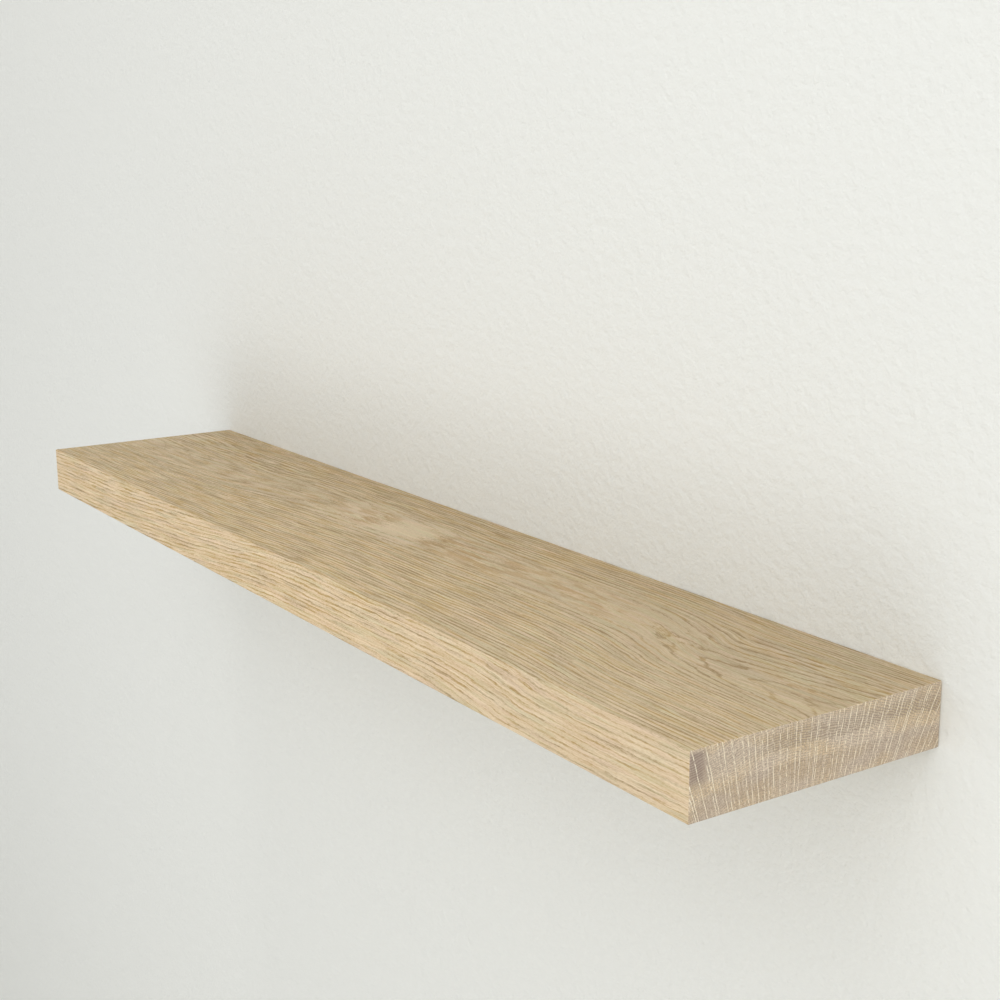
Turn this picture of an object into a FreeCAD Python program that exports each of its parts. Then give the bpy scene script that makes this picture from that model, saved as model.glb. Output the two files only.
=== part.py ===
import FreeCAD, Part
import math
import os
from FreeCAD import Placement, Rotation, Vector

# A floating wall shelf: a solid oak board on a concealed steel bracket, in millimetres.
# X runs along the shelf, +Y points into the wall and +Z is up. The wall's face is the plane Y = 0,
# and the origin is the centre of the back of the bracket's bar.

# Oak board
board_length = 900.0
board_depth = 175.0
board_thickness = 38.0
edge_radius = 1.0

# Stopped groove in the board's back, which hides the bar
groove_cheek = 6.0  # wood above and below the groove
groove_end_cover = 59.0  # wood beyond each end of the groove
groove_clearance = 0.5  # from the bar's front and long edges
groove_end_clearance = 1.0

# Flat steel bar
bar_thickness = 5.0
bar_corner_radius = 6.0

# Steel rods, pushed into the bar from the front and plug welded from the back
rod_count = 4
rod_diameter = 12.0
rod_reach = 120.0  # from the bar's front face
rod_tip_chamfer = 1.5
rod_fit = 0.05  # radial, in the bar's hole
bore_fit = 0.1  # radial, in the board's bore
bore_end_clearance = 5.0
bore_point_angle = 118.0
bore_mouth_chamfer = 1.0
weld_depth = 2.0
weld_bevel = 1.5  # widening of the bar's hole at the back
weld_sink = 0.2  # from the bar's back to the weld's rim
weld_dish = 0.4

# Countersunk wall screws
screw_end_margin = 25.0  # from the bar's end to the outer screws
screw_to_rod = 35.0  # from the outer screws to the outer rods
screw_length = 60.0
screw_diameter = 5.0
screw_core_diameter = 3.3
screw_shank_diameter = 3.7
screw_shank_length = 16.0
screw_tip_length = 5.0
screw_pitch = 2.6
screw_head_diameter = 10.0
screw_head_angle = 90.0
screw_head_rim = 0.4
screw_head_sink = 0.2
screw_hole_clearance = 0.25  # radial, around the thread
screw_seat_clearance = 0.1  # radial, around the head
recess_span = 5.6
recess_width = 1.3
recess_depth = 2.6

# Nylon wall plugs
plug_length = 50.0
plug_diameter = 8.0
plug_neck = 8.0
plug_nose = 4.0
plug_nose_taper = 0.3
plug_screw_fit = 0.05  # radial, around the screw's thread
plug_rib_diameter = 7.6  # narrower than the neck, until the screw spreads it
plug_rib_height = 0.5
plug_rib_pitch = 4.2
plug_slit_width = 1.0
plug_slit_start = 12.0

# Lock screws in brass inserts, driven up from the underside against the outer rods
lock_setback = 60.0  # from the wall
lock_screw_diameter = 6.0
lock_screw_core_diameter = 4.9
lock_screw_pitch = 1.0
lock_screw_recess = 2.7  # from the underside to the screw's end
lock_screw_fit = 0.05  # radial, in the insert
lock_hole_clearance = 0.3  # radial, in the wood above the insert
socket_across_flats = 3.0
socket_depth = 3.5
insert_diameter = 9.5
insert_core_diameter = 8.2
insert_pitch = 2.0
insert_roof = 2.9  # wood between the insert and the rod's bore
insert_fit = 0.05  # radial, in the wood
insert_mouth_chamfer = 0.4
driver_slot_width = 1.2
driver_slot_depth = 1.5

# Nylon pads that swivel on the lock screws' tips
pad_diameter = 4.6
pad_thickness = 2.0
pad_chamfer = 0.3
pad_gap = 0.3  # from the rod
pad_stem_diameter = 2.2
pad_stem_length = 1.5
pad_play = 0.05  # around the stem, and under the pad

# Sizes and places that follow
groove_height = board_thickness - 2 * groove_cheek
groove_length = board_length - 2 * groove_end_cover
groove_depth = bar_thickness + groove_clearance
bar_height = groove_height - 2 * groove_clearance
bar_length = groove_length - 2 * groove_end_clearance
underside = -board_thickness / 2

rod_radius = rod_diameter / 2
bar_hole_radius = rod_radius + rod_fit
bore_radius = rod_radius + bore_fit
bore_depth = bar_thickness + rod_reach + bore_end_clearance
outer_screw_x = bar_length / 2 - screw_end_margin
outer_rod_x = outer_screw_x - screw_to_rod
rod_spacing = 2 * outer_rod_x / (rod_count - 1)
rod_places = [-outer_rod_x + rod_spacing * i for i in range(rod_count)]
between_rods = [x + rod_spacing / 2 for x in rod_places[:-1]]
screw_places = [-outer_screw_x, *between_rods, outer_screw_x]
lock_places = [rod_places[0], rod_places[-1]]

screw_hole_radius = screw_diameter / 2 + screw_hole_clearance
screw_head_slope = math.tan(math.radians(screw_head_angle / 2))
plug_bore_radius = screw_diameter / 2 + plug_screw_fit

insert_length = board_thickness / 2 - bore_radius - insert_roof
insert_bore_radius = lock_screw_diameter / 2 + lock_screw_fit
pocket_radius = insert_diameter / 2 + insert_fit
pad_top = -rod_radius - pad_gap
lock_screw_top = pad_top - pad_thickness - pad_play
lock_screw_bottom = underside + lock_screw_recess
lock_screw_length = lock_screw_top - lock_screw_bottom

# One ridge of a thread or rib, as (share of the pitch, share of the ridge's height)
WOOD_THREAD = [(0.0, 0.0), (0.45, 0.0), (0.7, 1.0), (0.76, 1.0)]
FINE_THREAD = [(0.0, 0.0), (0.45, 1.0), (0.55, 1.0)]
BARB = [(0.0, 0.0), (0.08, 1.0), (0.2, 1.0)]

OVERCUT = 1.0  # how far a cutting shape runs past the face that it opens
OUT = Vector(0, -1, 0)
IN = Vector(0, 1, 0)
UP = Vector(0, 0, 1)


def turned(outline, start, along):
    # A solid turned about the axis at start. The outline lists (radius, distance along the axis).
    points = [Vector(radius, 0, distance) for radius, distance in outline]
    face = Part.Face(Part.makePolygon([*points, points[0]]))
    solid = face.revolve(Vector(0, 0, 0), UP, 360)
    solid.Placement = Placement(start, Rotation(UP, along))
    return solid


def ridged(start, end, pitch, root, crest, ridge):
    # The outline of the whole ridges that fill the length from start to end
    count = max(1, round((end - start) / pitch))
    step = (end - start) / count
    return [
        (root + (crest - root) * rise, start + (i + share) * step)
        for i in range(count)
        for share, rise in ridge
    ]


def plate(length, height, corner_radius, front, back):
    # An upright plate, centred on the origin in X and Z, with its four corners rounded
    block = Part.makeBox(
        length, back - front, height, Vector(-length / 2, front, -height / 2)
    )
    corners = [e for e in block.Edges if abs(e.tangentAt(e.FirstParameter).y) > 0.5]
    return block.makeFillet(corner_radius, corners)


def box_about(centre, length, depth, height):
    corner = centre - Vector(length, depth, height) / 2
    return Part.makeBox(length, depth, height, corner)


def shelf_board():
    block = Part.makeBox(
        board_length,
        board_depth,
        board_thickness,
        Vector(-board_length / 2, -board_depth, underside),
    )
    board = block.makeFillet(edge_radius, block.Edges)
    groove_corner_radius = bar_corner_radius + groove_clearance
    groove = plate(
        groove_length, groove_height, groove_corner_radius, -groove_depth, OVERCUT
    )
    cuts = [groove]
    cuts += [rod_bore(x) for x in rod_places]
    cuts += [lock_hole(x) for x in lock_places]
    return board.cut(cuts)


def rod_bore(x):
    point = bore_radius / math.tan(math.radians(bore_point_angle / 2))
    mouth_radius = bore_radius + bore_mouth_chamfer
    outline = [
        (0, 0),
        (mouth_radius, 0),
        (mouth_radius, groove_depth),
        (bore_radius, groove_depth + bore_mouth_chamfer),
        (bore_radius, bore_depth),
        (0, bore_depth + point),
    ]
    return turned(outline, Vector(x, 0, 0), OUT)


def lock_hole(x):
    hole_radius = lock_screw_diameter / 2 + lock_hole_clearance
    mouth_radius = pocket_radius + insert_mouth_chamfer
    rod_axis = -underside
    outline = [
        (0, -OVERCUT),
        (mouth_radius, -OVERCUT),
        (mouth_radius, 0),
        (pocket_radius, insert_mouth_chamfer),
        (pocket_radius, insert_length),
        (hole_radius, insert_length),
        (hole_radius, rod_axis),
        (0, rod_axis),
    ]
    return turned(outline, Vector(x, -lock_setback, underside), UP)


def wall_bar():
    bar = plate(bar_length, bar_height, bar_corner_radius, -bar_thickness, 0)
    holes = [rod_hole(x) for x in rod_places]
    holes += [screw_hole(x) for x in screw_places]
    return bar.cut(holes)


def rod_hole(x):
    outline = [
        (0, -OVERCUT),
        (bar_hole_radius + weld_bevel, -OVERCUT),
        (bar_hole_radius + weld_bevel, 0),
        (bar_hole_radius, weld_bevel),
        (bar_hole_radius, bar_thickness + OVERCUT),
        (0, bar_thickness + OVERCUT),
    ]
    return turned(outline, Vector(x, 0, 0), OUT)


def screw_hole(x):
    # The countersink follows the head's own cone, a little wider
    seat_radius = screw_head_diameter / 2 + screw_seat_clearance
    seat = screw_head_sink + screw_head_rim
    cone = (seat_radius - screw_hole_radius) / screw_head_slope
    outline = [
        (0, -OVERCUT),
        (seat_radius, -OVERCUT),
        (seat_radius, seat),
        (screw_hole_radius, seat + cone),
        (screw_hole_radius, bar_thickness + OVERCUT),
        (0, bar_thickness + OVERCUT),
    ]
    return turned(outline, Vector(x, -bar_thickness, 0), IN)


def support_rod(x):
    rod_length = rod_reach + bar_thickness - weld_depth
    outline = [
        (0, 0),
        (rod_radius, 0),
        (rod_radius, rod_length - rod_tip_chamfer),
        (rod_radius - rod_tip_chamfer, rod_length),
        (0, rod_length),
    ]
    return turned(outline, Vector(x, -weld_depth, 0), OUT)


def rod_weld(x):
    # Weld metal fills the bar's hole behind the rod, with a shallow round dish at the back
    rim = bar_hole_radius + weld_bevel - weld_sink
    rim_height = weld_depth - weld_sink
    outline = [
        (0, 0),
        (bar_hole_radius, 0),
        (bar_hole_radius, weld_depth - weld_bevel),
        (rim, rim_height),
        (0, rim_height),
    ]
    ball_radius = (rim**2 + weld_dish**2) / (2 * weld_dish)
    ball_centre = Vector(x, ball_radius - weld_dish - weld_sink, 0)
    weld = turned(outline, Vector(x, -weld_depth, 0), IN)
    return weld.cut(Part.makeSphere(ball_radius, ball_centre))


def wall_screw(x):
    head_radius = screw_head_diameter / 2
    shank_radius = screw_shank_diameter / 2
    core_radius = screw_core_diameter / 2
    head_length = screw_head_rim + (head_radius - shank_radius) / screw_head_slope
    thread_end = screw_length - screw_tip_length
    outline = [
        (0, 0),
        (head_radius, 0),
        (head_radius, screw_head_rim),
        (shank_radius, head_length),
        (shank_radius, screw_shank_length),
        *ridged(
            screw_shank_length,
            thread_end,
            screw_pitch,
            core_radius,
            screw_diameter / 2,
            WOOD_THREAD,
        ),
        (core_radius, thread_end),
        (0, screw_length),
    ]
    head = Vector(x, screw_head_sink - bar_thickness, 0)
    recess_centre = head + IN * (recess_depth - OVERCUT) / 2
    depth = recess_depth + OVERCUT
    recess = [
        box_about(recess_centre, recess_span, depth, recess_width),
        box_about(recess_centre, recess_width, depth, recess_span),
    ]
    return turned(outline, head, IN).cut(recess)


def wall_plug(x):
    neck_radius = plug_diameter / 2
    rib_radius = plug_rib_diameter / 2
    root_radius = rib_radius - plug_rib_height
    ribs_end = plug_length - plug_nose
    outline = [
        (plug_bore_radius, 0),
        (neck_radius, 0),
        (neck_radius, plug_neck),
        *ridged(plug_neck, ribs_end, plug_rib_pitch, root_radius, rib_radius, BARB),
        (root_radius, ribs_end),
        (root_radius - plug_nose_taper, plug_length),
        (plug_bore_radius, plug_length),
    ]
    slit_length = ribs_end - plug_slit_start
    slit_centre = Vector(x, plug_slit_start + slit_length / 2, 0)
    across = plug_diameter + OVERCUT
    slits = [
        box_about(slit_centre, across, slit_length, plug_slit_width),
        box_about(slit_centre, plug_slit_width, slit_length, across),
    ]
    return turned(outline, Vector(x, 0, 0), IN).cut(slits)


def lock_insert(x):
    core_radius = insert_core_diameter / 2
    outline = [
        (insert_bore_radius, 0),
        *ridged(
            0, insert_length, insert_pitch, core_radius, insert_diameter / 2, FINE_THREAD
        ),
        (core_radius, insert_length),
        (insert_bore_radius, insert_length),
    ]
    mouth = Vector(x, -lock_setback, underside)
    slot_centre = mouth + UP * (driver_slot_depth - OVERCUT) / 2
    across = insert_diameter + OVERCUT
    slot = box_about(
        slot_centre, across, driver_slot_width, driver_slot_depth + OVERCUT
    )
    return turned(outline, mouth, UP).cut(slot)


def lock_screw(x):
    core_radius = lock_screw_core_diameter / 2
    outline = [
        (0, 0),
        *ridged(
            0,
            lock_screw_length,
            lock_screw_pitch,
            core_radius,
            lock_screw_diameter / 2,
            FINE_THREAD,
        ),
        (core_radius, lock_screw_length),
        (0, lock_screw_length),
    ]
    end = Vector(x, -lock_setback, lock_screw_bottom)
    stem_hole = Part.makeCylinder(
        pad_stem_diameter / 2 + pad_play,
        pad_stem_length + OVERCUT,
        Vector(x, -lock_setback, lock_screw_top - pad_stem_length),
        UP,
    )
    return turned(outline, end, UP).cut([hex_socket(end), stem_hole])


def hex_socket(end):
    corner_radius = socket_across_flats / 2 / math.cos(math.pi / 6)
    start = end - UP * OVERCUT
    corners = [
        start + Rotation(UP, 60 * i).multVec(Vector(corner_radius, 0, 0))
        for i in range(6)
    ]
    hexagon = Part.Face(Part.makePolygon([*corners, corners[0]]))
    return hexagon.extrude(UP * (socket_depth + OVERCUT))


def lock_pad(x):
    # The stem hangs in the screw's tip, and the disc above it meets the rod
    stem_radius = pad_stem_diameter / 2
    stem_bottom = lock_screw_top - pad_stem_length + pad_play
    disc = lock_screw_top + pad_play - stem_bottom
    top = pad_top - stem_bottom
    outline = [
        (0, 0),
        (stem_radius, 0),
        (stem_radius, disc),
        (pad_diameter / 2, disc),
        (pad_diameter / 2, top - pad_chamfer),
        (pad_diameter / 2 - pad_chamfer, top),
        (0, top),
    ]
    return turned(outline, Vector(x, -lock_setback, stem_bottom), UP)


def numbered(name, make, places):
    return {f"{name}_{i}": make(x) for i, x in enumerate(places, 1)}


os.makedirs("parts", exist_ok=True)
pieces = {
    "shelf_board": shelf_board(),
    "wall_bar": wall_bar(),
    **numbered("support_rod", support_rod, rod_places),
    **numbered("rod_weld", rod_weld, rod_places),
    **numbered("wall_screw", wall_screw, screw_places),
    **numbered("wall_plug", wall_plug, screw_places),
    **numbered("lock_insert", lock_insert, lock_places),
    **numbered("lock_screw", lock_screw, lock_places),
    **numbered("lock_pad", lock_pad, lock_places),
}
for name, piece in pieces.items():
    piece.exportStep(f"parts/{name}.step")
print(f"{len(pieces)} pieces")
print(f"rods at X {rod_places}, screws at X {screw_places}")
print(f"lock screws {lock_screw_length:.2f} long, {lock_screw_recess} up from the underside")
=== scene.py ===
import math
import bpy
from mathutils import Matrix, Vector


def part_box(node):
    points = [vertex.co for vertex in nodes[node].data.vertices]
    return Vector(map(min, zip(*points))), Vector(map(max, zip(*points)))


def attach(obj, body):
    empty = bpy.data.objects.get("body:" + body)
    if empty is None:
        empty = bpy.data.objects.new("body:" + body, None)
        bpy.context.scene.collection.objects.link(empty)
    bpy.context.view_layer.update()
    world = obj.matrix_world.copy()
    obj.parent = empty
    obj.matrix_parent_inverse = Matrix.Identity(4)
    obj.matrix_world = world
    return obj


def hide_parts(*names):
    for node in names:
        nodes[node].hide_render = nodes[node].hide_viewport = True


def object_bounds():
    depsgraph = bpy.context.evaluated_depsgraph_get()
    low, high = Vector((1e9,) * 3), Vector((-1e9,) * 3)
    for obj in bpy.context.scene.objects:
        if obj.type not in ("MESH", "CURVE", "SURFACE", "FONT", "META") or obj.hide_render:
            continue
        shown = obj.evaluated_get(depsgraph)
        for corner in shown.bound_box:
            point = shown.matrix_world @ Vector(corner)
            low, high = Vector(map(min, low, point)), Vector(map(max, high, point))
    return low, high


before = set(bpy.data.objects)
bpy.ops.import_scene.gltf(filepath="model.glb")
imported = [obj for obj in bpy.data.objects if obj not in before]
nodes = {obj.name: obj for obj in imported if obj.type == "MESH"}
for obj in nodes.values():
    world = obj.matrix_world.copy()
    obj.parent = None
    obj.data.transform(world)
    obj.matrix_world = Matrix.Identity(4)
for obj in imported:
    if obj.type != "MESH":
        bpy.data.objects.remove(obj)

# A floating wall shelf: a solid oak board that slides onto the rods of a hidden steel bracket.
# Metres; X runs along the shelf, +Y into the wall, +Z up.
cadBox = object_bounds()
toMillimetres = 1000
sharpCorner = 0.6  # radians
seamWidth = 0.002  # millimetres, in which a turned piece's seams close


class Field:
    # one value that changes over a surface; sums on it add Math nodes
    def __init__(self, graph, out):
        self.graph = graph
        self.out = out

    def __add__(self, other):
        return self.graph.math("ADD", self, other)

    def __sub__(self, other):
        return self.graph.math("SUBTRACT", self, other)

    def __rsub__(self, other):
        return self.graph.math("SUBTRACT", other, self)

    def __mul__(self, other):
        return self.graph.math("MULTIPLY", self, other)

    def __truediv__(self, other):
        return self.graph.math("DIVIDE", self, other)

    def __rtruediv__(self, other):
        return self.graph.math("DIVIDE", other, self)

    def __pow__(self, other):
        return self.graph.math("POWER", self, other)

    def __mod__(self, other):
        return self.graph.math("FLOORED_MODULO", self, other)

    def __abs__(self):
        return self.graph.math("ABSOLUTE", self)

    __radd__ = __add__
    __rmul__ = __mul__

    def least(self, other):
        return self.graph.math("MINIMUM", self, other)

    def most(self, other):
        return self.graph.math("MAXIMUM", self, other)


class Graph:
    # a node tree in the making
    def __init__(self, tree):
        self.tree = tree
        self.tree.nodes.clear()

    def node(self, kind, settings, sockets, take=0):
        # adds any node: its settings first, then the values or links of its sockets
        made = self.tree.nodes.new(kind)
        for name, value in settings.items():
            if name == "points":
                self.setPoints(made.mapping, value)
            elif name == "items":
                while len(made.index_switch_items) < value:
                    made.index_switch_items.new()
            else:
                setattr(made, name, value)
        for name, value in sockets.items():
            for one in value if isinstance(value, list) else [value]:
                if isinstance(one, Field):
                    self.tree.links.new(one.out, made.inputs[name])
                else:
                    made.inputs[name].default_value = one
        return Field(self, made.outputs[take]) if made.outputs else None

    def setPoints(self, mapping, points):
        curve = mapping.curves[0]
        while len(curve.points) < len(points):
            curve.points.new(0, 0)
        for point, place in zip(curve.points, points):
            point.location = place
            point.handle_type = "AUTO_CLAMPED"
        mapping.update()

    def math(self, operation, *values):
        return self.node("ShaderNodeMath", {"operation": operation}, dict(enumerate(values)))

    def apart(self, vector):
        split = self.node("ShaderNodeSeparateXYZ", {}, {0: vector})
        return [Field(self, part) for part in split.out.node.outputs]

    def at(self, x, y, z=0.0):
        return self.node("ShaderNodeCombineXYZ", {}, {0: x, 1: y, 2: z})

    def noise(self, x, y, z, detail=2.0, roughness=0.5):
        # cloudy values from 0 to 1, with a lump for each unit of x, y and z
        sockets = {"Vector": self.at(x, y, z), "Scale": 1.0, "Detail": detail, "Roughness": roughness}
        return self.node("ShaderNodeTexNoise", {}, sockets)

    def rise(self, value, low, high):
        # 0 up to low and 1 from high on, smooth between them; low can be the larger of the two
        settings = {"interpolation_type": "SMOOTHSTEP"}
        return self.node("ShaderNodeMapRange", settings, {0: value, 1: low, 2: high})

    def curve(self, value, points):
        # a smooth line through the points; the node itself works from 0 to 1
        start, end = points[0][0], points[-1][0]
        low = min(height for _, height in points)
        high = max(height for _, height in points)
        length, rise = end - start, high - low
        shares = [((place - start) / length, (height - low) / rise) for place, height in points]
        share = (value - start) / length
        return self.node("ShaderNodeFloatCurve", {"points": shares}, {"Value": share}) * rise + low

    def blend(self, share, first, second):
        # from one colour to another; a Mix node's colours have sockets of their own
        colours = [colour if isinstance(colour, Field) else (*colour, 1) for colour in (first, second)]
        sockets = {0: share, 6: colours[0], 7: colours[1]}
        return self.node("ShaderNodeMix", {"data_type": "RGBA"}, sockets, 2)

    def scale(self, colour, gain):
        # a colour made brighter or darker by a value
        return self.node("ShaderNodeVectorMath", {"operation": "SCALE"}, {0: colour, "Scale": gain})


class Look(Graph):
    # a material in the making; x, y and z are places on the piece, in millimetres
    def __init__(self, name):
        self.material = bpy.data.materials.new(name)
        self.material.use_nodes = True
        super().__init__(self.material.node_tree)
        self.x, self.y, self.z = (value * toMillimetres for value in self.apart(self.place("Object")))

    def place(self, output):
        return self.node("ShaderNodeTexCoord", {}, {}, output)

    def lumps(self, size, detail=3.0, roughness=0.6):
        # clouds with lumps of one size, in millimetres
        return self.noise(self.x / size, self.y / size, self.z / size, detail, roughness)

    def bump(self, height, distance, strength):
        # the distance is in metres
        return self.node("ShaderNodeBump", {}, {"Height": height, "Distance": distance, "Strength": strength})

    def finish(self, **sockets):
        # the surface's shader; sockets are named as the shader names them, with _ for a space
        named = {name.replace("_", " "): value for name, value in sockets.items()}
        shader = self.node("ShaderNodeBsdfPrincipled", {}, named)
        self.node("ShaderNodeOutputMaterial", {}, {"Surface": shader})
        return self.material


class Maker(Graph):
    # a Geometry Nodes tree in the making: a piece turned about Z from named sizes in millimetres
    def __init__(self, name, sizes, around=48):
        super().__init__(bpy.data.node_groups.new(name, "GeometryNodeTree"))
        self.sizes = sizes
        self.around = around
        interface = self.tree.interface
        for way in ("INPUT", "OUTPUT"):
            interface.new_socket("Geometry", in_out=way, socket_type="NodeSocketGeometry")
        for size in sizes:
            interface.new_socket(size, in_out="INPUT", socket_type="NodeSocketFloat")
        given = self.tree.nodes.new("NodeGroupInput")
        self.spots = Field(self, given.outputs[0])
        self.given = {size: Field(self, given.outputs[size]) for size in sizes}

    def whole(self, value):
        return self.node("FunctionNodeFloatToInt", {"rounding_mode": "ROUND"}, {0: value})

    def pick(self, index, values):
        # the value whose place in the list is the index
        sockets = {0: index, **{i + 1: value for i, value in enumerate(values)}}
        return self.node("GeometryNodeIndexSwitch", {"data_type": "FLOAT", "items": len(values)}, sockets)

    def sheet(self, rows):
        # a grid to wrap round the axis, with its share of a turn and its row
        sizes = {0: 1.0, 1: 1.0, 2: self.around + 1, 3: rows}
        grid = self.node("GeometryNodeMeshGrid", {}, sizes)
        turn, row, _ = self.apart(self.node("GeometryNodeInputPosition", {}, {}))
        return grid, turn + 0.5, self.whole((row + 0.5) * (rows - 1))

    def wrap(self, grid, turn, radius, height):
        angle = turn * math.tau
        place = self.at(self.math("COSINE", angle) * radius, self.math("SINE", angle) * radius, height)
        return self.node("GeometryNodeSetPosition", {}, {"Geometry": grid, "Position": place})

    def lathe(self, *profile):
        # turned from (radius, height) points, whose outside is on their right
        grid, turn, row = self.sheet(len(profile))
        radius = self.pick(row, [point[0] for point in profile])
        height = self.pick(row, [point[1] for point in profile])
        return self.wrap(grid, turn, radius, height)

    def thread(self, start, end, pitch, root, crest, ridge, fade=0.6, tip=0.0, down=False):
        # a right-hand screw thread between two heights; the ridge lists (share of a turn, share of the depth)
        turns = self.math("CEIL", (end - start) / pitch) + 1
        grid, turn, row = self.sheet(turns * len(ridge) + 1)
        step = row % len(ridge)
        share = (row - step) / len(ridge) + self.pick(self.whole(step), [point[0] for point in ridge])
        depth = self.pick(self.whole(step), [point[1] for point in ridge])
        height = end + (turn - share) * pitch if down else start + (share + turn - 1) * pitch
        height = height.most(start).least(end)
        faded = ((height - start) / (pitch * fade)).least((end - height) / (pitch * fade + tip)).least(1)
        core = root * ((end - height) / tip).least(1) if tip else root
        return self.wrap(grid, turn, core + (crest - root) * depth * faded, height)

    def weld(self, *sheets):
        joined = self.node("GeometryNodeJoinGeometry", {}, {0: list(sheets)})
        return self.node("GeometryNodeMergeByDistance", {}, {"Geometry": joined, "Distance": seamWidth})

    def block(self, length, width, height, centre):
        # a cutter
        cube = self.node("GeometryNodeMeshCube", {}, {"Size": self.at(length, width, height)})
        return self.node("GeometryNodeTransform", {}, {"Geometry": cube, "Translation": centre})

    def rod(self, sides, radius, length, level):
        # a round or hexagon cutter, centred on a level
        sockets = {"Vertices": sides, "Radius": radius, "Depth": length}
        cylinder = self.node("GeometryNodeMeshCylinder", {}, sockets)
        moved = {"Geometry": cylinder, "Translation": self.at(0.0, 0.0, level)}
        return self.node("GeometryNodeTransform", {}, moved)

    def cut(self, solid, *cutters):
        settings = {"operation": "DIFFERENCE", "solver": "MANIFOLD"}
        for cutter in cutters:
            solid = self.node("GeometryNodeMeshBoolean", settings, {0: solid, 1: cutter})
        return solid

    def finish(self, solid, material, turned=(0.0, 0.0, 0.0), spun=0):
        # sharp corners stay sharp, and a copy stands on each spot, spun by a seed if it is given one
        smooth = self.node("GeometryNodeSetShadeSmooth", {"domain": "FACE"}, {0: solid, "Shade Smooth": True})
        corner = self.node("GeometryNodeInputMeshEdgeAngle", {}, {})
        sharp = self.node("FunctionNodeCompare", {"operation": "GREATER_THAN"}, {0: corner, 1: sharpCorner})
        smooth = self.node("GeometryNodeSetShadeSmooth", {"domain": "EDGE"}, {0: smooth, 1: sharp, 2: False})
        sized = {"Geometry": smooth, "Scale": (1 / toMillimetres,) * 3, "Rotation": turned}
        copies = {"Points": self.spots, "Instance": self.node("GeometryNodeTransform", {}, sized)}
        if spun:
            turns = {2: 0.0, 3: math.tau, "Seed": spun}
            spin = self.node("FunctionNodeRandomValue", {"data_type": "FLOAT"}, turns, 1)
            copies["Rotation"] = self.at(0.0, spin, 0.0)
        copies = self.node("GeometryNodeInstanceOnPoints", {}, copies)
        solid = self.node("GeometryNodeRealizeInstances", {}, {"Geometry": copies})
        solid = self.node("GeometryNodeSetMaterial", {}, {"Geometry": solid, "Material": material})
        self.node("NodeGroupOutput", {}, {0: solid})

    def make(self, name, spots, body, replaced, slot):
        # runs the tree, keeps its plain mesh and puts it in place of the CAD nodes
        mesh = bpy.data.meshes.new(name + "Spots")
        mesh.from_pydata(spots, [], [])
        piece = bpy.data.objects.new(name, mesh)
        bpy.context.scene.collection.objects.link(piece)
        modifier = piece.modifiers.new("make", "NODES")
        modifier.node_group = self.tree
        for socket in self.tree.interface.items_tree:
            if socket.name in self.sizes:
                modifier[socket.identifier] = float(self.sizes[socket.name])
        graph = bpy.context.evaluated_depsgraph_get()
        plain = bpy.data.meshes.new_from_object(piece.evaluated_get(graph))
        piece.modifiers.remove(modifier)
        piece.data = plain
        plain.name = name
        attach(piece, body)
        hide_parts(*replaced)
        return piece


def linear(red, green, blue):
    # a colour as a screen shows it, 0 to 255, as light
    def channel(value):
        share = value / 255
        return share / 12.92 if share <= 0.04045 else ((share + 0.055) / 1.055) ** 2.4
    return channel(red), channel(green), channel(blue)


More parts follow.
